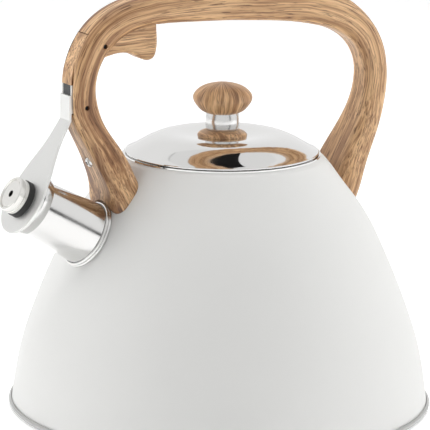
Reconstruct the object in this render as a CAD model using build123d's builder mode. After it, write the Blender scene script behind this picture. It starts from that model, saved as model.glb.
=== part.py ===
from build123d import *
import math
import os

# Stovetop whistling kettle, about 3 litres.
# Frame: origin on the kettle's axis at the hob surface, +Z up, the spout points
# along -X and the rear handle foot stands on +X. XZ is the plane of symmetry.
# Millimetres. Every piece is a solid of its own, drawn closed and at rest.

os.makedirs("parts", exist_ok=True)

# ---------------------------------------------------------------- driving sizes
BASE_R = 110.0            # outside of the rolled base rim
RIM_TOP = 3.4             # top of the rolled rim
WALL = 1.0                # pressed steel wall
SHOULDER = [              # outside of the body: radius, height
    (108.5, 2.7), (106.0, 20.0), (102.7, 35.0), (97.7, 50.0), (92.0, 65.0), (85.5, 80.0),
    (78.4, 95.0), (70.2, 108.0), (62.4, 118.0), (56.9, 125.6), (53.0, 130.2),
]
NECK_R = 47.0             # clear radius of the filling hole
SEAT_Z = 132.7            # top of the flange that the lid rests on

LID_R = 50.0
LID_GAP = 0.1
LID_WALL = 0.8
LID_Z = SEAT_Z + LID_GAP  # underside of the lid
LID_CROWN = [             # top of the lid, a gently dished crown: radius, height above its underside
    (LID_R - 0.3, 1.1), (47.0, 2.4), (43.0, 4.7), (38.0, 7.4), (32.0, 9.5), (26.0, 10.0), (20.0, 9.6),
    (13.0, 8.9),
]
CROWN_Z = LID_Z + LID_CROWN[-1][1]   # flat middle of the crown
KNOB_R = 15.3
KNOB_BASE_R = 12.8
KNOB_BORE_R = 2.1         # clearance hole for the knob's screw
NECK_BOTTOM = 144.5
KNOB_BOTTOM = 153.6
KNOB_TOP = 169.1

SPOUT_TILT = 30.5         # degrees above the horizontal
SPOUT_ROOT = (-76.3, 96.4)   # centre of the collar: x, z
SPOUT_LENGTH = 38.8
SPOUT_ROOT_R = 16.6
SPOUT_MOUTH_R = 13.8
COLLAR_R = 17.9

TRIGGER_PIVOT = (-72.1, 193.8)
ARM_PIVOT = (-82.2, 163.6)
LINK = (-83.0, 178.0)
PIN_R = 1.25
LINK_R = 1.0
RUN = 0.05                # radial clearance of a moving hole on its pin

SLOT_HALF = 5.6           # half width of the lever's slot in the handle
TRIGGER_SLOT_HALF = 6.8
TRIGGER_HALF = 6.5
ARM_HALF = 5.2            # half width of the arm's upright strip
CORE_HALF = 4.1
CHANNEL_HALF = 2.4        # half width of the channel inside the lever core
TAIL_HALF = 2.0

CORNER = 5.5              # corner radius of the handle's section
HANDLE = [                # centre line: x, z, thickness in the loop's plane, width
    (-58.6, 110.4, 16.4, 35.0),
    (-62.5, 120.6, 16.4, 33.6),
    (-66.6, 131.5, 15.8, 28.0),
    (-72.0, 141.5, 14.9, 23.5),
    (-77.8, 151.5, 14.4, 20.5),
    (-81.3, 161.0, 14.8, 18.8),
    (-82.4, 171.5, 14.0, 18.4),
    (-80.8, 182.8, 14.4, 18.4),
    (-75.9, 193.0, 15.0, 18.6),
    (-67.6, 201.6, 15.4, 18.8),
    (-55.8, 207.4, 15.2, 19.0),
    (-39.0, 209.9, 15.0, 19.0),
    (-16.0, 209.9, 15.4, 19.0),
    (7.0, 209.5, 16.4, 19.0),
    (30.0, 208.5, 17.8, 19.0),
    (49.0, 206.3, 18.8, 19.0),
    (63.0, 202.5, 18.4, 19.0),
    (75.0, 195.7, 16.4, 18.8),
    (83.2, 187.0, 15.0, 18.6),
    (87.8, 177.0, 14.2, 18.4),
    (89.0, 166.0, 14.0, 18.6),
    (87.4, 154.5, 14.0, 20.0),
    (83.4, 143.0, 14.0, 23.5),
    (77.8, 132.0, 14.0, 28.0),
    (72.2, 121.0, 14.2, 33.0),
    (67.4, 109.0, 14.6, 35.0),
    (63.6, 98.0, 15.0, 36.0),
]


def write(piece, name):
    piece.part.label = name
    export_step(piece.part, f"parts/{name}.step")


def inward(points, wall):
    """The same profile moved by the wall thickness towards the axis."""
    moved = []
    for i, (r, z) in enumerate(points):
        r0, z0 = points[max(i - 1, 0)]
        r1, z1 = points[min(i + 1, len(points) - 1)]
        length = math.hypot(r1 - r0, z1 - z0)
        moved.append((r - wall * (z1 - z0) / length, z + wall * (r1 - r0) / length))
    return moved


# the spout's own frame: distance along its axis, radius about it
TILT = math.radians(SPOUT_TILT)
SPOUT_DIR = (-math.cos(TILT), 0, math.sin(TILT))
SPOUT_UP = (math.sin(TILT), 0, math.cos(TILT))
SPOUT_O = (SPOUT_ROOT[0], 0, SPOUT_ROOT[1])
SPOUT_AXIS = Axis(SPOUT_O, SPOUT_DIR)
SPOUT_SECTION = Plane(origin=SPOUT_O, x_dir=(0, 1, 0), z_dir=SPOUT_UP)


def spout_face(distance):
    """Plane across the spout's axis, its own y pointing up along the arm."""
    origin = tuple(o + distance * a for o, a in zip(SPOUT_O, SPOUT_DIR))
    return Plane(origin=origin, x_dir=(0, -1, 0), z_dir=SPOUT_DIR)


def ring_about_z(points):
    with BuildPart() as ring:
        with BuildSketch(Plane.XZ):
            with BuildLine():
                Polyline(*points, close=True)
            make_face()
        revolve(axis=Axis.Z)
    return ring


def ring_about_spout(points):
    with BuildPart() as ring:
        with BuildSketch(SPOUT_SECTION):
            with BuildLine():
                Polyline(*points, close=True)
            make_face()
        revolve(axis=SPOUT_AXIS)
    return ring


# ---------------------------------------------------------------------- vessel
with BuildPart() as vessel_block:      # the space that the body fills, for trimming feet
    with BuildSketch(Plane.XZ):
        with BuildLine():
            Polyline((0, SEAT_Z - 1), (0, SHOULDER[0][1]), SHOULDER[0])
            Spline(*SHOULDER)
            Polyline(SHOULDER[-1], (SHOULDER[-1][0] - 2, SEAT_Z - 1), (0, SEAT_Z - 1))
        make_face()
    revolve(axis=Axis.Z)

with BuildPart() as body_shell:
    inner = inward(SHOULDER, WALL)
    with BuildSketch(Plane.XZ):
        with BuildLine():
            Spline(*SHOULDER)
            Polyline(SHOULDER[-1], (50.6, SEAT_Z - 0.8), (49.6, SEAT_Z - 1.2), inner[-1])
            Spline(*reversed(inner))
            Polyline(inner[0], SHOULDER[0])
        make_face()
    revolve(axis=Axis.Z)
    with BuildSketch(spout_face(-14)):
        Circle(SPOUT_ROOT_R + 0.15)
    extrude(amount=28, mode=Mode.SUBTRACT)
write(body_shell, "body_shell")

# flanged ring pressed into the filling hole, which carries the lid
neck_ring = ring_about_z([
    (NECK_R, SEAT_Z - 9), (NECK_R + WALL, SEAT_Z - 9), (NECK_R + WALL, SEAT_Z - 0.75),
    (LID_R + 0.9, SEAT_Z - 0.75), (LID_R + 0.9, SEAT_Z), (NECK_R + 0.6, SEAT_Z), (NECK_R, SEAT_Z - 0.6),
])
write(neck_ring, "neck_ring")

# ------------------------------------------------------------------------ base
PAN_R = 99.0              # where the pan steps down to the rim
CORE_TOP = 4.6
CAP_SHEET = 0.8
with BuildPart() as base_pan:
    with BuildSketch(Plane.XZ):
        with BuildLine():
            Polyline(
                (0, CORE_TOP), (PAN_R, CORE_TOP), (PAN_R + 4.5, 1.7), (107.2, 1.7), (108.0, 0.5),
                (BASE_R - 0.8, 0.5), (BASE_R, 1.3), (BASE_R, RIM_TOP - 0.8), (BASE_R - 0.8, RIM_TOP),
                (BASE_R - 1.2, RIM_TOP), (BASE_R - 1.4, 2.5), (104.0, 2.5), (PAN_R + 0.3, 5.4), (0, 5.4),
                close=True,
            )
        make_face()
    revolve(axis=Axis.Z)
write(base_pan, "base_pan")

base_core = ring_about_z([(0, CAP_SHEET), (97, CAP_SHEET), (97, CORE_TOP), (0, CORE_TOP)])
write(base_core, "base_core")

base_cap = ring_about_z([
    (0, 0), (97.4, 0), (98.4, 1.0), (98.4, CORE_TOP), (97, CORE_TOP), (97, CAP_SHEET), (0, CAP_SHEET),
])
write(base_cap, "base_cap")

# ----------------------------------------------------------------------- spout
TUBE_WALL = 0.9
TUBE_START = -4.6
with BuildPart() as spout_tube:
    with BuildSketch(SPOUT_SECTION):
        with BuildLine():
            Polyline(
                (SPOUT_ROOT_R, TUBE_START), (SPOUT_ROOT_R, 0), (SPOUT_MOUTH_R, SPOUT_LENGTH - 0.5),
                (SPOUT_MOUTH_R - 0.4, SPOUT_LENGTH), (SPOUT_MOUTH_R - TUBE_WALL, SPOUT_LENGTH),
                (SPOUT_ROOT_R - TUBE_WALL, 0), (SPOUT_ROOT_R - TUBE_WALL, TUBE_START), close=True,
            )
        make_face()
    revolve(axis=SPOUT_AXIS)
write(spout_tube, "spout_tube")

# collar: a sleeve with two polished beads, trimmed to the curve of the body
BEAD_R = 0.85
with BuildPart() as spout_collar:
    with BuildSketch(SPOUT_SECTION):
        with Locations((COLLAR_R - BEAD_R, 0.6), (COLLAR_R - BEAD_R - 0.25, 2.1)):
            Circle(BEAD_R)
        with Locations(((SPOUT_ROOT_R + COLLAR_R - BEAD_R) / 2, -1.4)):
            Rectangle(COLLAR_R - BEAD_R - SPOUT_ROOT_R + 0.6, 6.2)
        with Locations((SPOUT_ROOT_R - 0.5, 0)):
            Rectangle(1.0, 12, mode=Mode.SUBTRACT)
    revolve(axis=SPOUT_AXIS)
    add(vessel_block.part, mode=Mode.SUBTRACT)
write(spout_collar, "spout_collar")

# ------------------------------------------------------------- cap and whistle
MOUTH_GAP = 0.2
GASKET = (SPOUT_LENGTH + MOUTH_GAP, 40.5)
CAP_FRONT = 41.6
PLATE_T = 1.2
PLATE_FRONT = CAP_FRONT + PLATE_T
PLATE_R = 17.8
PLUG_R = 6.8

with BuildPart() as spout_cap:
    with BuildSketch(SPOUT_SECTION):
        with BuildLine():
            Polyline((PLUG_R + 0.1, CAP_FRONT), (PLUG_R + 0.1, GASKET[1]), (16.0, GASKET[1]))
            Spline((16.0, GASKET[1]), (15.5, 37.9), (14.9, 35.7))
            Polyline((14.9, 35.7), (15.7, 35.7))
            Spline((15.7, 35.7), (16.4, 37.8), (17.0, 40.6))
            Polyline((17.0, 40.6), (16.8, CAP_FRONT), (PLUG_R + 0.1, CAP_FRONT))
        make_face()
    revolve(axis=SPOUT_AXIS)
    # lug on top of the skirt, folded over to grip the arm plate
    with BuildSketch(Plane(origin=SPOUT_O, x_dir=SPOUT_DIR, z_dir=(0, 1, 0))):
        with BuildLine():
            Polyline((35.8, 15.4), (35.8, 18.0), (36.6, 18.8), (38.6, 18.8), (39.4, 18.0), (40.2, 16.6),
                     close=True)
        make_face()
    extrude(amount=2.6, both=True)
write(spout_cap, "spout_cap")

cap_gasket = ring_about_spout([(9.4, GASKET[0]), (14.7, GASKET[0]), (14.7, GASKET[1]), (9.4, GASKET[1])])
write(cap_gasket, "cap_gasket")

RING_TOP = 46.0
PLUG_BORE = PLUG_R - 1.2
whistle_body = ring_about_spout([
    (PLUG_BORE, GASKET[0] + 0.2), (9.0, GASKET[0] + 0.2), (9.0, GASKET[1]), (PLUG_R, GASKET[1]),
    (PLUG_R, RING_TOP), (PLUG_BORE, RING_TOP),
])
write(whistle_body, "whistle_body")

RING_R = 9.6
whistle_ring = ring_about_spout([
    (PLUG_R, PLATE_FRONT), (RING_R, PLATE_FRONT), (RING_R, RING_TOP - 0.5), (RING_R - 0.4, RING_TOP),
    (PLUG_R, RING_TOP),
])
write(whistle_ring, "whistle_ring")

FRONT_D = 51.2           # face of the whistle
FRONT_R = 9.1
HOLE_R = 1.75
with BuildPart() as whistle_front:
    with BuildSketch(SPOUT_SECTION):
        with BuildLine():
            Polyline(
                (HOLE_R, FRONT_D - 0.6), (7.0, FRONT_D - 0.6), (7.3, FRONT_D - 0.9), (7.6, FRONT_D - 0.9),
                (7.9, FRONT_D - 0.1), (FRONT_R - 0.5, FRONT_D - 0.1), (FRONT_R, FRONT_D - 0.6),
                (FRONT_R, RING_TOP + 2.6), (FRONT_R - 0.3, RING_TOP + 2.4), (FRONT_R - 0.3, RING_TOP + 1.8),
                (FRONT_R, RING_TOP + 1.6), (FRONT_R, RING_TOP), (8.2, RING_TOP), (8.2, FRONT_D - 1.8),
                (7.6, FRONT_D - 1.7),
                (6.8, FRONT_D - 1.4), (HOLE_R, FRONT_D - 1.4), close=True,
            )
        make_face()
    revolve(axis=SPOUT_AXIS)
write(whistle_front, "whistle_front")

BACK_T = 0.7
BACK_D = 43.0
whistle_back = ring_about_spout([
    (HOLE_R, BACK_D), (PLUG_BORE, BACK_D), (PLUG_BORE, BACK_D + 2), (PLUG_BORE - BACK_T, BACK_D + 2),
    (PLUG_BORE - BACK_T, BACK_D + BACK_T), (HOLE_R, BACK_D + BACK_T),
])
write(whistle_back, "whistle_back")

# ----------------------------------------------------------------------- handle
def section_plane(i):
    x0, z0 = HANDLE[max(i - 1, 0)][:2]
    x1, z1 = HANDLE[min(i + 1, len(HANDLE) - 1)][:2]
    x, z = HANDLE[i][:2]
    return Plane(origin=(x, 0, z), x_dir=(0, 1, 0), z_dir=(x1 - x0, 0, z1 - z0))


def frame_on_leg(foot, top):
    """Plane at a leg's foot: its y runs up the leg and its z points away from the axis."""
    up = Vector(top[0] - foot[0], 0, top[1] - foot[1]).normalized()
    out = up.cross(Vector(0, 1, 0))
    if out.X * foot[0] < 0:
        out = out * -1
    return Plane(origin=(foot[0], 0, foot[1]), x_dir=up.cross(out), z_dir=out)


TONGUE = (12.0, 24.0, 2.0)     # width, height and thickness of a bracket's tongue
PAD = (16.0, 9.0, 12.0)        # the bracket's foot: width, height, depth
SCREW_UP = 20.5                # screw height above the foot
SCREW_R = 1.75
HEAD_R = 2.8
FRONT_LEG = frame_on_leg((-60.6, 118.5), (-68.9, 138.2))
REAR_LEG = frame_on_leg((67.6, 111.2), (76.5, 132.0))


def bracket(leg, grow):
    """Steel tongue that stands in the leg on a pad welded to the body."""
    with BuildPart() as steel:
        with BuildSketch(leg.offset(-TONGUE[2] / 2 - grow)):
            with Locations((0, TONGUE[1] / 2 - 4)):
                Rectangle(TONGUE[0] + 2 * grow, TONGUE[1] + 8 + 2 * grow)
        extrude(amount=TONGUE[2] + 2 * grow)
        with BuildSketch(leg.offset(-PAD[2] / 2 - grow)):
            with Locations((0, -PAD[1] / 2 + 3)):
                Rectangle(PAD[0] + 2 * grow, PAD[1] + 2 * grow)
        extrude(amount=PAD[2] + 2 * grow)
    return steel


def finish_bracket(steel, leg):
    with BuildPart() as done:
        add(steel.part)
        add(vessel_block.part, mode=Mode.SUBTRACT)
        with BuildSketch(leg.offset(-TONGUE[2])):
            with Locations((0, SCREW_UP)):
                Circle(SCREW_R)
        extrude(amount=2 * TONGUE[2], mode=Mode.SUBTRACT)
    return done


front_bracket = finish_bracket(bracket(FRONT_LEG, 0), FRONT_LEG)
write(front_bracket, "front_bracket")
rear_bracket = finish_bracket(bracket(REAR_LEG, 0), REAR_LEG)
write(rear_bracket, "rear_bracket")

STEP_Z = 159.9       # ledge in the front leg below the lever
LEVER_SLOT = [       # open to the front of the leg, from the step up past the cover's tip
    (-100.0, STEP_Z), (-76.8, STEP_Z), (-76.7, 176.0), (-75.8, 181.5), (-74.2, 187.0), (-73.6, 191.0),
    (-71.6, 194.0), (-71.6, 198.7), (-76.0, 199.9), (-82.0, 200.3), (-100.0, 200.3),
]
REBATE = [           # front of the leg set back above the step
    (-100.0, STEP_Z), (-88.0, STEP_Z), (-88.4, 164.0), (-88.4, 174.0), (-87.8, 182.0), (-86.6, 188.5),
    (-100.0, 188.5),
]
TRIGGER_SLOT = [     # open to the inside of the loop
    (-68.0, 180.0), (-74.2, 187.2), (-76.0, 190.6), (-76.2, 195.4), (-73.8, 199.4), (-68.0, 203.6),
    (-60.0, 207.6), (-50.0, 211.0), (-40.4, 212.6), (-40.4, 180.0),
]
FRONT_FACE = 8.5     # seat of the front screw's head, from the tongue's middle
REAR_FACE = 7.7

with BuildPart() as handle:
    for i, (x, z, thick, wide) in enumerate(HANDLE):
        with BuildSketch(section_plane(i)):
            RectangleRounded(wide, thick, CORNER)
    loft()
    add(vessel_block.part, mode=Mode.SUBTRACT)
    with BuildSketch(spout_face(-12)):
        Circle(COLLAR_R + 0.5)
    extrude(amount=30, mode=Mode.SUBTRACT)
    with BuildSketch(Plane.XZ):
        with BuildLine():
            Polyline(*LEVER_SLOT, close=True)
        make_face()
    extrude(amount=SLOT_HALF, both=True, mode=Mode.SUBTRACT)
    with BuildSketch(Plane.XZ):
        with BuildLine():
            Polyline(*REBATE, close=True)
        make_face()
    extrude(amount=14, both=True, mode=Mode.SUBTRACT)
    with BuildSketch(Plane.XZ):
        with BuildLine():
            Polyline(*TRIGGER_SLOT, close=True)
        make_face()
    extrude(amount=TRIGGER_SLOT_HALF, both=True, mode=Mode.SUBTRACT)
    with BuildSketch(Plane.XZ):
        with Locations(TRIGGER_PIVOT, ARM_PIVOT):
            Circle(PIN_R)
    extrude(amount=14, both=True, mode=Mode.SUBTRACT)
    for leg, face in ((FRONT_LEG, FRONT_FACE), (REAR_LEG, REAR_FACE)):
        add(bracket(leg, 0.25).part, mode=Mode.SUBTRACT)
        with BuildSketch(leg.offset(face)):
            with Locations((0, SCREW_UP)):
                Circle(HEAD_R + 0.3)
        extrude(amount=5, mode=Mode.SUBTRACT)
        with BuildSketch(leg.offset(-4)):
            with Locations((0, SCREW_UP)):
                Circle(SCREW_R + 0.1)
        extrude(amount=16, mode=Mode.SUBTRACT)
write(handle, "handle")


def handle_screw(leg, face):
    """Dome-head screw through the leg's outer wall into the tongue."""
    middle = leg.from_local_coords(Vector(0, SCREW_UP, 0))
    across = Vector(0, 1, 0).cross(leg.z_dir)
    with BuildPart() as screw:
        with BuildSketch(Plane(origin=middle, x_dir=(0, 1, 0), z_dir=across)):
            with BuildLine():
                Polyline((0, -3.0), (SCREW_R - 0.3, -3.0), (SCREW_R, -2.5), (SCREW_R, face), (HEAD_R, face))
                ThreePointArc((HEAD_R, face), (1.9, face + 1.15), (0, face + 1.6))
                Line((0, face + 1.6), (0, -3.0))
            make_face()
        revolve(axis=Axis(middle, leg.z_dir))
        # hexagon socket
        with BuildSketch(leg.offset(face + 0.6)):
            with Locations((0, SCREW_UP)):
                RegularPolygon(1.25, 6)
        extrude(amount=2, mode=Mode.SUBTRACT)
    return screw


front_screw = handle_screw(FRONT_LEG, FRONT_FACE)
write(front_screw, "front_screw")
rear_screw = handle_screw(REAR_LEG, REAR_FACE)
write(rear_screw, "rear_screw")

# -------------------------------------------------------------- pins and spring
PIN_HALF = 7.6


def cross_pin(centre, radius, half):
    with BuildPart() as pin:
        with BuildSketch(Plane.XZ):
            with Locations(centre):
                Circle(radius)
        extrude(amount=half, both=True)
        chamfer(pin.edges().filter_by(GeomType.CIRCLE), 0.25)
    return pin


trigger_pin = cross_pin(TRIGGER_PIVOT, PIN_R, PIN_HALF)
write(trigger_pin, "trigger_pin")
lever_pin = cross_pin(ARM_PIVOT, PIN_R, PIN_HALF)
write(lever_pin, "lever_pin")
link_pin = cross_pin(LINK, LINK_R, CORE_HALF)
write(link_pin, "link_pin")

# torsion spring round the lever pin: one leg up behind the lever's front wall,
# the other up against the slot's inner wall
WIRE_R = 0.35
COIL_R = 2.6
COIL_PITCH = 0.8
COIL_LEAN = 20            # degrees that the rear leg leans towards the inner wall
COIL_TURNS = 4 + (180 - COIL_LEAN) / 360
COIL_LENGTH = COIL_PITCH * COIL_TURNS
REAR_END = 7.4            # lengths of the two straight ends
FRONT_END = 4.6
coil_start = (ARM_PIVOT[0], -COIL_LENGTH / 2, ARM_PIVOT[1])
coil = Edge.make_helix(COIL_PITCH, COIL_LENGTH, COIL_R, coil_start, (0, 1, 0))
coil = coil.rotate(Axis(coil_start, (0, 1, 0)), 90 + COIL_LEAN)
with BuildPart() as return_spring:
    with BuildSketch(Plane(origin=coil @ 0, z_dir=coil % 0)):
        Circle(WIRE_R)
    sweep(path=coil)
    for end, way, length in ((coil @ 0, (coil % 0) * -1, REAR_END), (coil @ 1, coil % 1, FRONT_END)):
        with BuildSketch(Plane(origin=end, z_dir=way)):
            Circle(WIRE_R)
        extrude(amount=length)
write(return_spring, "return_spring")

# ---------------------------------------------------------------------- trigger
TAIL_R = 2.3
HUB_R = 2.4
LINK_TRAVEL = 2.3        # how far the link pin slides along the tail's slot
FINGER_EDGE = 2.2        # rounding where the finger pulls
with BuildPart() as trigger:
    with BuildSketch(Plane.XZ):
        with BuildLine():
            Polyline((-72.4, 196.0), (-70.0, 196.5), (-66.0, 198.2), (-62.0, 200.2), (-50.0, 203.8),
                     (-42.0, 204.9), (-41.3, 204.0))
            Spline((-41.3, 204.0), (-41.1, 196.0), (-41.6, 189.0), (-43.3, 185.6), (-46.2, 184.6),
                   (-49.2, 185.3), (-54.0, 187.8), (-59.0, 189.2), (-64.0, 189.1), (-69.0, 188.0),
                   (-72.6, 187.0))
            Polyline((-72.6, 187.0), (-73.4, 190.6), (-74.2, 192.6), (-72.4, 196.0))
        make_face()
        with Locations(TRIGGER_PIVOT):
            Circle(HUB_R)
    extrude(amount=TRIGGER_HALF, both=True)
    fillet(trigger.edges().filter_by(GeomType.BSPLINE), FINGER_EDGE)
    with BuildSketch(Plane.XZ):
        with BuildLine():
            Polyline((-72.0, 191.5), (-74.2, 194.6), (-79.0, 189.3), (-84.8, 181.2), (-85.3, 178.0),
                     (-80.7, 178.0), (-80.6, 180.8), (-76.4, 187.6), close=True)
        make_face()
        with Locations(LINK, (LINK[0] + 0.1, LINK[1] + LINK_TRAVEL)):
            Circle(TAIL_R)
    extrude(amount=TAIL_HALF, both=True)
    with BuildSketch(Plane.XZ):
        with Locations(TRIGGER_PIVOT):
            Circle(PIN_R + RUN)
        with Locations(LINK, (LINK[0] + 0.1, LINK[1] + LINK_TRAVEL)):
            Circle(LINK_R + 0.25)
        with Locations((LINK[0] + 0.05, LINK[1] + LINK_TRAVEL / 2)):
            Rectangle(2 * LINK_R + 0.5, LINK_TRAVEL)
    extrude(amount=TRIGGER_HALF + 1, both=True, mode=Mode.SUBTRACT)
write(trigger, "trigger")

# -------------------------------------------------------------------- cap lever
STRIP_X = -90.2           # front of the arm's upright strip
STRIP_BACK = STRIP_X + PLATE_T
STRIP_TOP = 169.7
COVER_Z = 174.9           # foot of the lever's cover
COVER_BOTTOM = COVER_Z - 0.04
WALL_FRONT = -86.9        # front of the side walls behind the cover
ARM_OUTLINE = [           # half width, distance above the disc's centre
    (ARM_HALF, 45.6), (6.1, 38.0), (7.3, 31.5), (9.6, 25.0), (12.3, 18.5), (15.3, 9.1),
]
with BuildPart() as arm_plate:
    with BuildSketch(spout_face(CAP_FRONT)):
        Circle(PLATE_R)
        with BuildLine():
            Spline(*ARM_OUTLINE)
            Polyline(ARM_OUTLINE[-1], (-ARM_OUTLINE[-1][0], ARM_OUTLINE[-1][1]))
            Spline(*[(-h, v) for h, v in reversed(ARM_OUTLINE)])
            Line((-ARM_HALF, 45.6), (ARM_HALF, 45.6))
        make_face()
        Circle(PLUG_R + 0.1, mode=Mode.SUBTRACT)
    extrude(amount=PLATE_T)
    # upright strip and the two side walls that enter the handle
    with BuildSketch(Plane.XZ):
        with BuildLine():
            Polyline((STRIP_X, 157.0), (STRIP_X, STRIP_TOP), (STRIP_BACK, STRIP_TOP), (STRIP_BACK, 156.4),
                     close=True)
        make_face()
    extrude(amount=ARM_HALF, both=True)
    for side in (ARM_HALF, -CORE_HALF - RUN):
        with BuildSketch(Plane.XZ.offset(-side)):
            with BuildLine():
                Polyline((STRIP_X, 160.6), (-80.6, 160.6), (-78.9, 162.2), (-78.9, 168.0), (-80.6, 181.0),
                         (-85.6, 181.0), (WALL_FRONT, 175.2), (WALL_FRONT, COVER_BOTTOM),
                         (STRIP_BACK, COVER_BOTTOM), (STRIP_BACK, STRIP_TOP), (STRIP_X, STRIP_TOP),
                         close=True)
            make_face()
        extrude(amount=ARM_HALF - CORE_HALF - RUN)
    with BuildSketch(Plane.XZ):
        with Locations(ARM_PIVOT):
            Circle(PIN_R + RUN)
    extrude(amount=ARM_HALF + 1, both=True, mode=Mode.SUBTRACT)
write(arm_plate, "arm_plate")

COVER_OUTER = [          # x, z from the black block up to the tip
    (-89.1, COVER_Z), (-88.8, 179.0), (-87.9, 183.2), (-86.6, 187.2), (-85.0, 191.0), (-83.3, 194.3),
    (-81.9, 197.0), (-80.0, 199.8),
]
COVER_INNER = [
    (-87.1, COVER_Z), (-86.8, 178.7), (-86.0, 182.7), (-84.7, 186.5), (-83.4, 190.2), (-82.0, 193.6),
    (-80.9, 196.4), (-79.3, 199.3),
]
with BuildPart() as lever_cover:
    with BuildSketch(Plane.XZ):
        with BuildLine():
            Spline(*COVER_OUTER)
            Line(COVER_OUTER[-1], COVER_INNER[-1])
            Spline(*reversed(COVER_INNER))
            Line(COVER_INNER[0], COVER_OUTER[0])
        make_face()
    extrude(amount=ARM_HALF, both=True)
    outer_edges = lever_cover.edges().filter_by(lambda e: abs(abs(e.center().Y) - ARM_HALF) < 0.01)
    fillet(outer_edges.sort_by(Axis.X)[:2], 0.8)
write(lever_cover, "lever_cover")

# black core: it shows between the strip and the cover, and a channel runs behind it
FIT = 0.02               # play between the core and what it carries
CORE_FRONT = STRIP_BACK + FIT
CORE_BOTTOM = 161.0
BLOCK_TOP = COVER_Z - FIT
core_face = [(x + FIT, z) for x, z in COVER_INNER[1:4]]
core_corner = (COVER_INNER[0][0] + FIT, BLOCK_TOP)
with BuildPart() as lever_core:
    with BuildSketch(Plane.XZ):
        with BuildLine():
            Polyline((CORE_FRONT, CORE_BOTTOM), (CORE_FRONT, BLOCK_TOP), core_corner)
            Spline(core_corner, *core_face)
            Polyline(core_face[-1], (-83.7, 185.9), (-83.2, 184.0), (-80.4, 181.6), (-79.4, 168.0),
                     (-79.0, 162.4), (-80.6, CORE_BOTTOM), (CORE_FRONT, CORE_BOTTOM))
        make_face()
    extrude(amount=CORE_HALF, both=True)
    with BuildSketch(Plane.XZ):
        with BuildLine():
            Polyline((-86.0, 158.0), (-86.0, 178.5), (-85.4, 182.0), (-84.3, 185.6), (-83.0, 188.6),
                     (-80.0, 194.0), (-70.0, 194.0), (-70.0, 158.0), close=True)
        make_face()
    extrude(amount=CHANNEL_HALF, both=True, mode=Mode.SUBTRACT)
    with BuildSketch(Plane.XZ):
        with Locations(ARM_PIVOT):
            Circle(PIN_R + RUN)
        with Locations(LINK):
            Circle(LINK_R)
    extrude(amount=CORE_HALF + 1, both=True, mode=Mode.SUBTRACT)
write(lever_core, "lever_core")

# -------------------------------------------------------------------------- lid
crown = [(r, LID_Z + h) for r, h in LID_CROWN]
hollow = inward(crown[1:], LID_WALL)
with BuildPart() as lid_dome:
    with BuildSketch(Plane.XZ):
        with BuildLine():
            Spline(*crown)
            Polyline(crown[-1], (0, CROWN_Z), (0, CROWN_Z - LID_WALL), (hollow[-1][0], CROWN_Z - LID_WALL),
                     hollow[-1])
            Spline(*reversed(hollow))
            # flat seat, and a rim lifted clear of the flange
            Polyline(hollow[0], (LID_R - 3.0, LID_Z), (LID_R - 1.0, LID_Z), (LID_R - 0.7, LID_Z + 0.4),
                     (LID_R - 0.1, LID_Z + 0.4), (LID_R, LID_Z + 0.5), (LID_R, LID_Z + 0.8), crown[0])
        make_face()
    revolve(axis=Axis.Z)
    with BuildSketch(Plane.XY.offset(LID_Z)):
        Circle(KNOB_BORE_R)
    extrude(amount=20, mode=Mode.SUBTRACT)
write(lid_dome, "lid_dome")

SKIRT_R = NECK_R - 0.7
SKIRT_DEPTH = 11.0
lid_skirt = ring_about_z([
    (SKIRT_R - 0.8, SEAT_Z - SKIRT_DEPTH), (SKIRT_R, SEAT_Z - SKIRT_DEPTH), (SKIRT_R, LID_Z + 1.8),
    (SKIRT_R - 0.8, LID_Z + 2.2),
])
write(lid_skirt, "lid_skirt")

BASE_TOP_R = 8.6
with BuildPart() as knob_base:
    with BuildSketch(Plane.XZ):
        with BuildLine():
            Polyline((KNOB_BORE_R, CROWN_Z), (KNOB_BASE_R, CROWN_Z), (KNOB_BASE_R, CROWN_Z + 0.2))
            Spline((KNOB_BASE_R, CROWN_Z + 0.2), (12.3, CROWN_Z + 1.0), (10.9, CROWN_Z + 1.9),
                   (BASE_TOP_R, NECK_BOTTOM))
            Polyline((BASE_TOP_R, NECK_BOTTOM), (KNOB_BORE_R, NECK_BOTTOM), (KNOB_BORE_R, CROWN_Z))
        make_face()
    revolve(axis=Axis.Z)
write(knob_base, "knob_base")

NECK_END_R = 8.2
NECK_MID_R = 8.9
NECK_MID_Z = (NECK_BOTTOM + KNOB_BOTTOM) / 2
with BuildPart() as knob_neck:
    with BuildSketch(Plane.XZ):
        with BuildLine():
            Polyline((KNOB_BORE_R, NECK_BOTTOM), (NECK_END_R, NECK_BOTTOM))
            ThreePointArc((NECK_END_R, NECK_BOTTOM), (NECK_MID_R, NECK_MID_Z), (NECK_END_R, KNOB_BOTTOM))
            Polyline((NECK_END_R, KNOB_BOTTOM), (KNOB_BORE_R, KNOB_BOTTOM), (KNOB_BORE_R, NECK_BOTTOM))
        make_face()
    revolve(axis=Axis.Z)
write(knob_neck, "knob_neck")

KNOB_FOOT_R = 8.8
KNOB_SCREW_R = 2.0
KNOB_SCREW_TOP = 161.1
with BuildPart() as knob:
    with BuildSketch(Plane.XZ):
        with BuildLine():
            Spline((0, KNOB_TOP), (6.5, KNOB_TOP - 0.8), (11.8, 166.2), (KNOB_R, 161.3), (12.8, 156.5),
                   (KNOB_FOOT_R, KNOB_BOTTOM), tangents=[(1, 0), (-1, -0.4)])
            Polyline((KNOB_FOOT_R, KNOB_BOTTOM), (0, KNOB_BOTTOM), (0, KNOB_TOP))
        make_face()
    revolve(axis=Axis.Z)
    with BuildSketch(Plane.XY.offset(KNOB_BOTTOM)):
        Circle(KNOB_SCREW_R)
    extrude(amount=KNOB_SCREW_TOP + 0.1 - KNOB_BOTTOM, mode=Mode.SUBTRACT)
write(knob, "knob")

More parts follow.
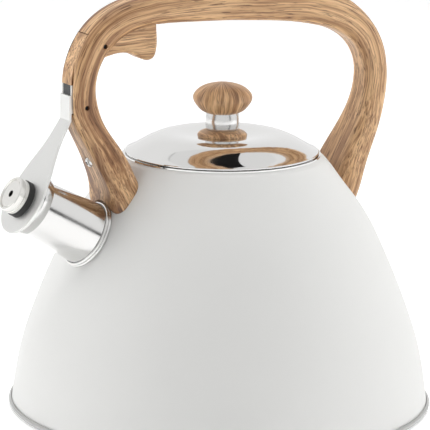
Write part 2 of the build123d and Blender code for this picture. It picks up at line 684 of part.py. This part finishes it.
SCREW_HEAD_Z = CROWN_Z - 3.4
WASHER_Z = SCREW_HEAD_Z + 2.0
knob_screw = ring_about_z([
    (0, SCREW_HEAD_Z), (3.4, SCREW_HEAD_Z), (3.6, SCREW_HEAD_Z + 0.4), (3.6, WASHER_Z),
    (KNOB_SCREW_R, WASHER_Z), (KNOB_SCREW_R, KNOB_SCREW_TOP - 0.5), (KNOB_SCREW_R - 0.6, KNOB_SCREW_TOP),
    (0, KNOB_SCREW_TOP),
])
write(knob_screw, "knob_screw")

WASHER_R = 6.5
WASHER_TOP = CROWN_Z - LID_WALL - 0.03
knob_washer = ring_about_z([
    (KNOB_BORE_R, WASHER_Z), (WASHER_R, WASHER_Z), (WASHER_R, WASHER_TOP), (KNOB_BORE_R, WASHER_TOP),
])
write(knob_washer, "knob_washer")
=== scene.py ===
import math

import bmesh
import bpy
import numpy as np
from mathutils import Matrix, Vector
from mathutils.kdtree import KDTree


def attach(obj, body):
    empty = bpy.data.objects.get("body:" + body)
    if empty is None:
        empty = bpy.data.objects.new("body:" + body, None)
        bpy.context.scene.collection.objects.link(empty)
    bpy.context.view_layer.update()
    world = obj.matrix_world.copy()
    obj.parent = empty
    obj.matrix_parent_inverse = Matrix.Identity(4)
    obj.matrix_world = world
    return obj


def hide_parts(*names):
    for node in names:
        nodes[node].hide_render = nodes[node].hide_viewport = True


# Looks of the stovetop whistling kettle, in metres, in the CAD model's frame:
# +Z up, the spout along -X, the rear handle foot on +X.

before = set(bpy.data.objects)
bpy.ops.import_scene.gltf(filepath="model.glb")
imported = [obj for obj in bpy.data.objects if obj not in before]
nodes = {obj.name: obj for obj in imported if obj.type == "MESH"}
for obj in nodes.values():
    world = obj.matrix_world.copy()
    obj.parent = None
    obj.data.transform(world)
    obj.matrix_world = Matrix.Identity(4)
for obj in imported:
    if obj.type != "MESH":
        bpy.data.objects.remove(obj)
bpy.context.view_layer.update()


# ------------------------------------------------------------------ node helpers
def set_stops(ramp, stops):
    """Gives a colour ramp its (position, colour) stops."""
    elements = ramp.color_ramp.elements
    while len(elements) < len(stops):
        elements.new(0.5)
    for element, (position, colour) in zip(elements, stops):
        element.position = position
        element.color = (*colour, 1)


class Shader:
    """A material with a Principled shader and short calls for its nodes."""

    def __init__(self, name, **settings):
        self.material = bpy.data.materials.new(name)
        self.material.use_nodes = True
        self.tree = self.material.node_tree
        self.principled = self.tree.nodes["Principled BSDF"]
        for socket, value in settings.items():
            self.principled.inputs[socket.replace("_", " ")].default_value = value

    def link(self, output, socket):
        self.tree.links.new(output, socket)

    def to(self, socket, output):
        """Drives one socket of the Principled shader."""
        self.link(output, self.principled.inputs[socket])

    def node(self, kind, **properties):
        made = self.tree.nodes.new(kind)
        for name, value in properties.items():
            setattr(made, name, value)
        return made

    def math(self, operation, first, second=None, clamp=False):
        made = self.node("ShaderNodeMath", operation=operation, use_clamp=clamp)
        for i, value in enumerate((first, second)):
            if isinstance(value, (int, float)):
                made.inputs[i].default_value = value
            elif value is not None:
                self.link(value, made.inputs[i])
        return made.outputs[0]

    def scaled(self, vector, scale, offset=(0, 0, 0)):
        made = self.node("ShaderNodeMapping")
        self.link(vector, made.inputs["Vector"])
        made.inputs["Scale"].default_value = scale
        made.inputs["Location"].default_value = offset
        return made.outputs[0]

    def noise(self, vector, detail=2.0, roughness=0.5, distortion=0.0):
        made = self.node("ShaderNodeTexNoise")
        self.link(vector, made.inputs["Vector"])
        made.inputs["Scale"].default_value = 1.0
        made.inputs["Detail"].default_value = detail
        made.inputs["Roughness"].default_value = roughness
        made.inputs["Distortion"].default_value = distortion
        return made.outputs["Fac"]

    def ramp(self, factor, stops):
        made = self.node("ShaderNodeValToRGB")
        self.link(factor, made.inputs["Fac"])
        set_stops(made, stops)
        return made.outputs["Color"]

    def span(self, value, low, high, to_low, to_high):
        """The value mapped smoothly from one range to another, and clamped."""
        made = self.node("ShaderNodeMapRange", interpolation_type="SMOOTHSTEP")
        self.link(value, made.inputs["Value"])
        sockets = ("From Min", "From Max", "To Min", "To Max")
        for socket, number in zip(sockets, (low, high, to_low, to_high)):
            made.inputs[socket].default_value = number
        return made.outputs[0]

    def mix(self, factor, first, second):
        made = self.node("ShaderNodeMix", data_type="RGBA")
        if isinstance(factor, (int, float)):
            made.inputs["Factor"].default_value = factor
        else:
            self.link(factor, made.inputs["Factor"])
        for socket, value in ((made.inputs[6], first), (made.inputs[7], second)):
            if isinstance(value, tuple):
                socket.default_value = (*value, 1)
            else:
                self.link(value, socket)
        return made.outputs[2]

    def object_coordinates(self):
        return self.node("ShaderNodeTexCoord").outputs["Object"]

    def split(self, vector):
        made = self.node("ShaderNodeSeparateXYZ")
        self.link(vector, made.inputs[0])
        return made.outputs

    def join(self, x, y, z):
        made = self.node("ShaderNodeCombineXYZ")
        for i, value in enumerate((x, y, z)):
            if isinstance(value, (int, float)):
                made.inputs[i].default_value = value
            else:
                self.link(value, made.inputs[i])
        return made.outputs[0]

    def bump(self, height, strength, distance):
        made = self.node("ShaderNodeBump")
        made.inputs["Strength"].default_value = strength
        made.inputs["Distance"].default_value = distance
        self.link(height, made.inputs["Height"])
        self.to("Normal", made.outputs["Normal"])


def paint(material, *names):
    """Gives CAD nodes a material in every one of their slots."""
    for name in names:
        data = nodes[name].data
        if not data.materials:
            data.materials.append(material)
        for i in range(len(data.materials)):
            data.materials[i] = material


# ------------------------------------------------------------------------ metals
STEEL = (0.74, 0.735, 0.725)


def polished_steel(name, roughness, tint=STEEL):
    """Mirror steel: faint buffing marks in its gloss, and a very shallow waviness."""
    s = Shader(name, Metallic=1.0)
    where = s.object_coordinates()
    haze = s.noise(s.scaled(where, (60, 60, 60)), 3)
    s.to("Roughness", s.span(haze, 0.3, 0.7, roughness * 0.7, roughness * 1.4))
    tone = s.noise(s.scaled(where, (25, 25, 25)), 2)
    s.to("Base Color", s.mix(tone, tuple(c * 0.97 for c in tint), tint))
    wave = s.noise(s.scaled(where, (90, 90, 90)), 1)
    s.bump(wave, 0.05, 0.0002)
    return s.material


def satin_steel(name, tint, roughness, along):
    """Steel with fine grain lines that run along one of the object's axes."""
    lengthwise, crosswise = 90.0, 2600.0
    s = Shader(name, Metallic=1.0)
    where = s.object_coordinates()
    scale = tuple(lengthwise if axis == along else crosswise for axis in "XYZ")
    lines = s.noise(s.scaled(where, scale), 3, 0.6)
    s.to("Roughness", s.span(lines, 0.25, 0.75, roughness * 0.75, roughness * 1.25))
    s.to("Base Color", s.mix(lines, tuple(c * 0.93 for c in tint), tint))
    s.bump(lines, 0.25, 0.00003)
    return s.material


def turned_steel(name, tint, roughness):
    """Steel with the fine rings that turning leaves round the kettle's axis."""
    rings_per_metre = 3000.0
    s = Shader(name, Metallic=1.0)
    x, y, z = s.split(s.object_coordinates())
    radius = s.math("SQRT", s.math("ADD", s.math("MULTIPLY", x, x), s.math("MULTIPLY", y, y)))
    outward = s.math("MULTIPLY", radius, rings_per_metre)
    upward = s.math("MULTIPLY", z, rings_per_metre)
    rings = s.noise(s.join(outward, upward, 0.0), 3, 0.6)
    blotch = s.noise(s.scaled(s.object_coordinates(), (35, 35, 35)), 3)
    s.to("Roughness", s.span(rings, 0.25, 0.75, roughness * 0.8, roughness * 1.2))
    s.to("Base Color", s.mix(blotch, tuple(c * 0.9 for c in tint), tint))
    s.bump(rings, 0.3, 0.00003)
    return s.material


# ---------------------------------------------------------- coating and mouldings
def powder_coat(name, colour):
    """Matte coating: a soft orange-peel bump and a barely uneven tone."""
    s = Shader(name, Specular_IOR_Level=0.35)
    where = s.object_coordinates()
    peel = s.noise(s.scaled(where, (1400, 1400, 1400)), 2, 0.55)
    tone = s.noise(s.scaled(where, (14, 14, 9)), 3)
    s.to("Base Color", s.mix(tone, tuple(c * 0.985 for c in colour), colour))
    s.to("Roughness", s.span(peel, 0.3, 0.7, 0.52, 0.62))
    s.bump(peel, 0.12, 0.00006)
    return s.material


def moulded(name, colour, roughness):
    """Plain moulded plastic or rubber with a fine spark-eroded texture."""
    grain = 1800.0
    s = Shader(name, Specular_IOR_Level=0.4)
    where = s.object_coordinates()
    fine = s.noise(s.scaled(where, (grain, grain, grain)), 2)
    s.to("Roughness", s.span(fine, 0.3, 0.7, roughness * 0.85, roughness * 1.15))
    s.to("Base Color", s.mix(fine, tuple(c * 0.85 for c in colour), colour))
    s.bump(fine, 0.15, 0.00005)
    return s.material


# ------------------------------------------------------------------------- wood
PALE = (0.82, 0.535, 0.29)
TAN = (0.62, 0.37, 0.18)
BROWN = (0.31, 0.15, 0.067)
DARK = (0.11, 0.045, 0.02)


def wood(name, grain, shift, depth, bands=(9.0, 230.0, 150.0), fine=900.0):
    """Printed wood grain.

    grain(s) gives (along, across, through) in metres, and shift moves the pattern. depth is how dark
    the broad bands are, from 0 to 1: a number, or depth(s, along). bands is the scale of the broad
    bands in those three directions, and fine the scale of the streaks through the wood.
    """
    s = Shader(name, Specular_IOR_Level=0.45)
    along, across, through = grain(s)
    vector = s.join(along, across, through)
    drift = s.noise(s.scaled(vector, (22, 60, 60), shift), 2)
    swing = s.math("MULTIPLY", s.math("SUBTRACT", drift, 0.5), 0.006)
    bent = s.join(along, s.math("ADD", across, swing), through)
    broad = s.noise(s.scaled(bent, bands, shift), 3, 0.6, 0.4)
    base = s.ramp(broad, [(0.34, DARK), (0.42, BROWN), (0.50, TAN), (0.64, PALE)])
    light = s.ramp(broad, [(0.25, BROWN), (0.38, TAN), (0.60, PALE)])
    how_dark = depth(s, along) if callable(depth) else depth
    colour = s.mix(how_dark, light, base)
    streaks = s.noise(s.scaled(bent, (28, 1300, fine), shift), 3, 0.6)
    colour = s.mix(s.span(streaks, 0.36, 0.60, 0.85, 0.0), colour, BROWN)
    dashes = s.noise(s.scaled(bent, (110, 1900, fine * 1.4), shift), 2, 0.5)
    colour = s.mix(s.span(dashes, 0.57, 0.68, 0.0, 0.8), colour, DARK)
    s.to("Base Color", colour)
    s.to("Roughness", s.span(streaks, 0.3, 0.7, 0.36, 0.46))
    s.bump(streaks, 0.15, 0.00008)
    return s.material


def grain_attribute(s):
    attribute = s.node("ShaderNodeAttribute", attribute_type="GEOMETRY", attribute_name="grain")
    return s.split(attribute.outputs["Vector"])


def grain_of_axes(order):
    """Grain taken from the object's own axes, such as "XZY": along X, across Z, through Y."""
    def grain(s):
        axes = dict(zip("XYZ", s.split(s.object_coordinates())))
        return [axes[letter] for letter in order]
    return grain


def grain_of_meridians(radius):
    """Grain up the sides of a turned knob, meeting at its top."""
    def grain(s):
        x, y, z = s.split(s.object_coordinates())
        return z, s.math("MULTIPLY", s.math("ARCTAN2", y, x), radius), z
    return grain


# ------------------------------------------------------------------ the handle
LOOP = [   # the handle's centre line, from the front foot over the top to the rear foot: x, z
    (-0.0586, 0.1104), (-0.072, 0.1415), (-0.0813, 0.161), (-0.0824, 0.1715), (-0.0808, 0.1828),
    (-0.0759, 0.193), (-0.0676, 0.2016), (-0.0558, 0.2074), (-0.039, 0.2099), (-0.016, 0.2099),
    (0.007, 0.2095), (0.03, 0.2085), (0.049, 0.2063), (0.063, 0.2025), (0.075, 0.1957),
    (0.0832, 0.187), (0.0878, 0.177), (0.089, 0.166), (0.0834, 0.143), (0.0722, 0.121), (0.0636, 0.098),
]
LOOP_STEPS = 24                          # samples between two of its points
GRAIN_EDGE = 0.004                       # the longest edge of a mesh that carries grain
MERGE_DISTANCE = 1e-6
SHARP_EDGE = math.radians(35)


def smooth_line(points, steps):
    """Catmull-Rom samples through the points, as an array."""
    p = np.array([points[0], *points, points[-1]], float)
    t = np.linspace(0, 1, steps, endpoint=False)[:, None]
    runs = []
    for a, b, c, d in zip(p, p[1:], p[2:], p[3:]):
        square = 2 * a - 5 * b + 4 * c - d
        cube = 3 * b - a - 3 * c + d
        runs.append(0.5 * (2 * b + (c - a) * t + square * t**2 + cube * t**3))
    return np.vstack([*runs, p[-1:]])


def add_loop_grain(mesh):
    """Stores (along the loop, across it, through it) at every vertex, for the wood to follow."""
    line = smooth_line(LOOP, LOOP_STEPS)
    steps = np.diff(line, axis=0)
    lengths = np.linalg.norm(steps, axis=1)
    travelled = np.concatenate([[0], np.cumsum(lengths)])
    ways = np.vstack([steps, steps[-1:]]) / np.concatenate([lengths, lengths[-1:]])[:, None]
    tree = KDTree(len(line))
    for i, (x, z) in enumerate(line):
        tree.insert((x, 0, z), i)
    tree.balance()
    values = []
    for vertex in mesh.vertices:
        x, y, z = vertex.co
        i = tree.find((x, 0, z))[1]
        offset = np.array((x, z)) - line[i]
        across = ways[i][0] * offset[1] - ways[i][1] * offset[0]
        values += [travelled[i] + offset @ ways[i], across, y]
    attribute = mesh.attributes.new("grain", "FLOAT_VECTOR", "POINT")
    attribute.data.foreach_set("vector", values)


def refined_copy(node):
    """A new piece with the node's own shape, cut finely enough to carry grain."""
    piece = bpy.data.objects.new(node + "_print", nodes[node].data.copy())
    bpy.context.scene.collection.objects.link(piece)
    bm = bmesh.new()
    bm.from_mesh(piece.data)
    bmesh.ops.remove_doubles(bm, verts=bm.verts, dist=MERGE_DISTANCE)
    for _ in range(5):
        long_edges = [e for e in bm.edges if e.calc_length() > GRAIN_EDGE]
        if not long_edges:
            break
        bmesh.ops.subdivide_edges(bm, edges=long_edges, cuts=1)
        bmesh.ops.triangulate(bm, faces=bm.faces)
    bm.to_mesh(piece.data)
    bm.free()
    piece.data.shade_smooth()
    return piece


def handle_depth(s, along):
    """Darkest on the front leg and its bend, palest over the grip, middling down the rear leg."""
    front = s.span(along, 0.085, 0.175, 1.0, 0.0)
    rear = s.span(along, 0.30, 0.36, 0.0, 0.55)
    return s.math("ADD", s.math("MAXIMUM", front, rear), 0.1, clamp=True)


handle = refined_copy("handle")
add_loop_grain(handle.data)
handle.data.materials.clear()
handle.data.materials.append(wood("wood_handle", grain_attribute, (3.1, 0.4, 7.7), handle_depth))
split = handle.modifiers.new("edges", "EDGE_SPLIT")
split.split_angle = SHARP_EDGE
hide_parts("handle")
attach(handle, "kettle")

# ------------------------------------------------------------ materials of the rest
paint(powder_coat("coating", (0.77, 0.77, 0.755)), "body_shell")
paint(polished_steel("polished", 0.06), "lid_dome", "lid_skirt", "neck_ring")
paint(polished_steel("polished_spout", 0.13), "spout_tube", "spout_collar", "spout_cap")
paint(polished_steel("polished_knob_neck", 0.22), "knob_neck", "front_screw", "rear_screw")
paint(turned_steel("rim", (0.50, 0.50, 0.49), 0.32), "base_pan")
paint(turned_steel("base_plate", (0.62, 0.62, 0.61), 0.3), "base_cap")
paint(turned_steel("core", (0.78, 0.78, 0.79), 0.4), "base_core")
paint(satin_steel("satin_arm", (0.80, 0.80, 0.785), 0.48, "Z"), "arm_plate")
paint(satin_steel("satin_disc", (0.80, 0.79, 0.76), 0.22, "Y"), "whistle_front", "whistle_back")
paint(satin_steel("mill_steel", (0.58, 0.58, 0.57), 0.4, "Z"), "front_bracket", "rear_bracket")
paint(
    satin_steel("pin_steel", (0.6, 0.6, 0.6), 0.3, "Y"),
    "link_pin", "return_spring", "knob_screw", "knob_washer",
)
# Painted shade: the trigger and lever pins are near-black so that their end faces look as if they lie in
# shadow within the handle's cheeks.
paint(satin_steel("black_pin", (0.05, 0.05, 0.05), 0.4, "Y"), "trigger_pin", "lever_pin")
paint(moulded("black_nylon", (0.035, 0.035, 0.035), 0.45), "lever_core", "whistle_body")
paint(moulded("black_silicone", (0.03, 0.03, 0.03), 0.6), "whistle_ring", "cap_gasket")
paint(wood("wood_trigger", grain_of_axes("XZY"), (1.2, 5.0, 2.0), 0.1), "trigger")
paint(wood("wood_cover", grain_of_axes("ZXY"), (6.1, 2.0, 4.0), 0.2), "lever_cover")
KNOB_RADIUS = 0.013                      # the mean radius that its grain is wrapped round
paint(
    wood("wood_knob", grain_of_meridians(KNOB_RADIUS), (2.0, 9.0, 1.0), 0.5,
         bands=(30.0, 210.0, 30.0), fine=60.0),
    "knob",
)
paint(wood("wood_knob_base", grain_of_axes("YXZ"), (4.0, 3.0, 8.0), 0.7), "knob_base")


# ------------------------------------------------------------------ stage and light
def plane(name, size, place, facing, material, **visible):
    """A flat card, its face turned to a point."""
    bpy.ops.mesh.primitive_plane_add(size=1)
    card = bpy.context.object
    card.name = name
    card.scale = (size[0], size[1], 1)
    card.location = place
    card.rotation_euler = (Vector(facing) - Vector(place)).to_track_quat("Z", "Y").to_euler()
    card.data.materials.append(material)
    for kind, shown in visible.items():
        setattr(card, "visible_" + kind, shown)


def soft_light(name, size, place, facing, power):
    """A rectangular softbox that the polished pieces don't mirror."""
    data = bpy.data.lights.new(name, "AREA")
    data.shape = "RECTANGLE"
    data.size, data.size_y = size
    data.energy = power
    lamp = bpy.data.objects.new(name, data)
    bpy.context.scene.collection.objects.link(lamp)
    lamp.location = place
    lamp.rotation_euler = (Vector(facing) - Vector(place)).to_track_quat("-Z", "Y").to_euler()
    lamp.visible_glossy = False


def floor_paper():
    """Pale paper that glows a little, so that the floor stays even and almost white."""
    s = Shader("floor", Roughness=0.9, Specular_IOR_Level=0.1)
    tone = s.noise(s.scaled(s.object_coordinates(), (3, 3, 3)), 2)
    s.to("Base Color", s.mix(tone, (0.93, 0.93, 0.93), (0.95, 0.95, 0.95)))
    s.principled.inputs["Emission Color"].default_value = (1, 1, 1, 1)
    s.principled.inputs["Emission Strength"].default_value = 0.36
    return s.material


plane("floor", (30, 30), (0, 0, 0), (0, 0, 1), floor_paper())

# The camera's own directions on the floor, for light that is even to its left and right.
CAMERA_BEARING = math.radians(29.3)      # from the -Y axis towards the spout
AWAY = Vector((math.sin(CAMERA_BEARING), math.cos(CAMERA_BEARING), 0))
ACROSS = Vector((math.cos(CAMERA_BEARING), -math.sin(CAMERA_BEARING), 0))


def from_camera_side(across, away, height):
    """A place given as the camera sees it: to its right, away from it, and up from the floor."""
    return ACROSS * across + AWAY * away + Vector((0, 0, height))


def studio_world(dim, side, bright):
    """A soft surround: dim behind the camera, brighter to the sides and the far end."""
    world = bpy.data.worlds.new("studio")
    bpy.context.scene.world = world
    world.use_nodes = True
    tree = world.node_tree
    way = tree.nodes.new("ShaderNodeTexCoord").outputs["Generated"]
    facing = tree.nodes.new("ShaderNodeVectorMath")
    facing.operation = "DOT_PRODUCT"
    facing.inputs[1].default_value = AWAY
    tree.links.new(way, facing.inputs[0])
    ramp = tree.nodes.new("ShaderNodeValToRGB")
    half = tree.nodes.new("ShaderNodeMath")      # from -1..1 to 0..1
    half.operation = "MULTIPLY_ADD"
    half.inputs[1].default_value = 0.5
    half.inputs[2].default_value = 0.5
    tree.links.new(facing.outputs["Value"], half.inputs[0])
    tree.links.new(half.outputs[0], ramp.inputs["Fac"])
    levels = [(0.0, dim), (0.2, dim), (0.5, side), (0.75, bright), (1.0, bright)]
    set_stops(ramp, [(position, (level,) * 3) for position, level in levels])
    tree.links.new(ramp.outputs["Color"], tree.nodes["Background"].inputs["Color"])


studio_world(0.03, 0.52, 0.62)
AIM = (0, 0, 0.1)
soft_light("softbox_left", (0.9, 1.3), from_camera_side(-1.5, -0.3, 0.75), AIM, 11)
soft_light("softbox_right", (0.9, 1.3), from_camera_side(1.5, -0.3, 0.75), AIM, 11)
soft_light("overhead", (1.6, 1.6), from_camera_side(0, 0, 1.9), AIM, 15)


def glow(name, low, high):
    """A softbox cloth, glowing a little unevenly."""
    s = Shader(name, Roughness=1.0, Specular_IOR_Level=0.0)
    tone = s.noise(s.scaled(s.object_coordinates(), (2, 2, 2)), 2)
    s.to("Emission Color", s.mix(tone, (low,) * 3, (high,) * 3))
    s.principled.inputs["Emission Strength"].default_value = 1.0
    s.principled.inputs["Base Color"].default_value = (0, 0, 0, 1)
    return s.material


def cloth(name, level):
    """A plain matte cloth, uneven by a third of its tone."""
    s = Shader(name, Roughness=0.95, Specular_IOR_Level=0.0)
    tone = s.noise(s.scaled(s.object_coordinates(), (9, 9, 9)), 2)
    s.to("Base Color", s.mix(tone, (level,) * 3, (level * 1.3,) * 3))
    return s.material


# Cards that only the polished pieces see: pale screens all round and overhead, and a black flag
# high up beyond the lid.
MIRROR_ONLY = {"camera": False, "diffuse": False, "shadow": False}
BACKDROP_ONLY = {"diffuse": False, "glossy": False, "shadow": False}
SCREEN_HEIGHT = 2.6                      # of the middle of each upright screen
WALL_DISTANCE = 14.5
WALL_HEIGHT = 5


def add_screens():
    plane("screen", (7.0, 5.0), from_camera_side(0, -3.0, SCREEN_HEIGHT), (0, 0, SCREEN_HEIGHT),
          glow("screen_glow", 0.78, 0.88), **MIRROR_ONLY)
    sides = (("screen_far", 0, 3.4), ("screen_left", -3.6, 0.6), ("screen_right", 3.6, 0.6))
    for name, across, away in sides:
        plane(name, (6.4, 5.0), from_camera_side(across, away, SCREEN_HEIGHT), (0, 0, SCREEN_HEIGHT),
              glow(name + "_glow", 0.92, 1.0), **MIRROR_ONLY)
    plane("screen_top", (8, 8), (0, 0, 5.2), (0, 0, 0), glow("screen_top_glow", 0.84, 0.92), **MIRROR_ONLY)
    plane("lid_flag", (0.30, 0.36), from_camera_side(0.02, 0.365, 1.25), (0, 0, 0.14),
          cloth("flag", 0.01), **MIRROR_ONLY)


def add_walls():
    """A pale wall far off on every side, which hides the horizon and lights nothing."""
    for i in range(4):
        turned = math.radians(90 * i)
        outward = Vector((math.cos(turned), math.sin(turned), 0))
        plane(f"wall_{i}", (30, 30), outward * WALL_DISTANCE + Vector((0, 0, WALL_HEIGHT)),
              (0, 0, WALL_HEIGHT), glow(f"wall_glow_{i}", 0.74, 0.78), **BACKDROP_ONLY)


add_screens()
add_walls()

# ------------------------------------------------------------------------ camera
CAMERA_DISTANCE = 1.468                  # along the floor, from the kettle's axis
CAMERA_HEIGHT = 0.430
PITCH = math.radians(12.698)
YAW = math.radians(-0.126)
ROLL = math.radians(0.677)
LENS = 243.3                             # mm, on the sensor below
SENSOR = 36.0


def add_camera():
    """The photo's camera, worked out facing +Y and then turned to its bearing."""
    data = bpy.data.cameras.new("camera")
    data.lens = LENS
    data.sensor_width = SENSOR
    camera = bpy.data.objects.new("camera", data)
    bpy.context.scene.collection.objects.link(camera)
    turn = Matrix.Rotation(-CAMERA_BEARING, 3, "Z")
    forward = Vector((math.sin(YAW) * math.cos(PITCH), math.cos(YAW) * math.cos(PITCH), -math.sin(PITCH)))
    level = Vector((math.cos(YAW), -math.sin(YAW), 0))
    upright = level.cross(forward)
    right = level * math.cos(ROLL) + upright * math.sin(ROLL)
    up = upright * math.cos(ROLL) - level * math.sin(ROLL)
    axes = Matrix((turn @ right, turn @ up, turn @ -forward)).transposed()
    place = turn @ Vector((0, -CAMERA_DISTANCE, CAMERA_HEIGHT))
    camera.matrix_world = Matrix.Translation(place) @ axes.to_4x4()
    bpy.context.scene.camera = camera


add_camera()
bpy.context.scene.view_settings.view_transform = "Standard"
